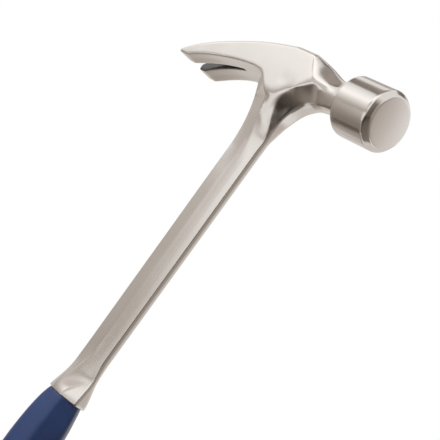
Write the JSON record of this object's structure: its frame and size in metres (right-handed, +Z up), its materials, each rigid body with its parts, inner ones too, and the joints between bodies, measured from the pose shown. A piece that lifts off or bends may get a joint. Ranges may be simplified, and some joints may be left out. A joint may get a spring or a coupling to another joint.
{
  "type": "framing hammer",
  "caption": "Framing hammer with a forged steel head and shank, smooth crowned face, straight rip claw with a nail slot, and a moulded blue grip bonded over the tang.",
  "frame": {"origin": "centre of the flat butt end of the grip, on the handle's axis", "axes": "+Z up the handle from the butt to the head, +X towards the striking face, Y across the thickness of the head"},
  "size_m": [0.1443, 0.032, 0.406],
  "materials": {
    "forged_steel": "satin polished",
    "grip_vinyl": "satin moulded"
  },
  "bodies": {
    "root": {"steel_forging": "forged_steel", "grip": "grip_vinyl"}
  },
  "joints": []
}
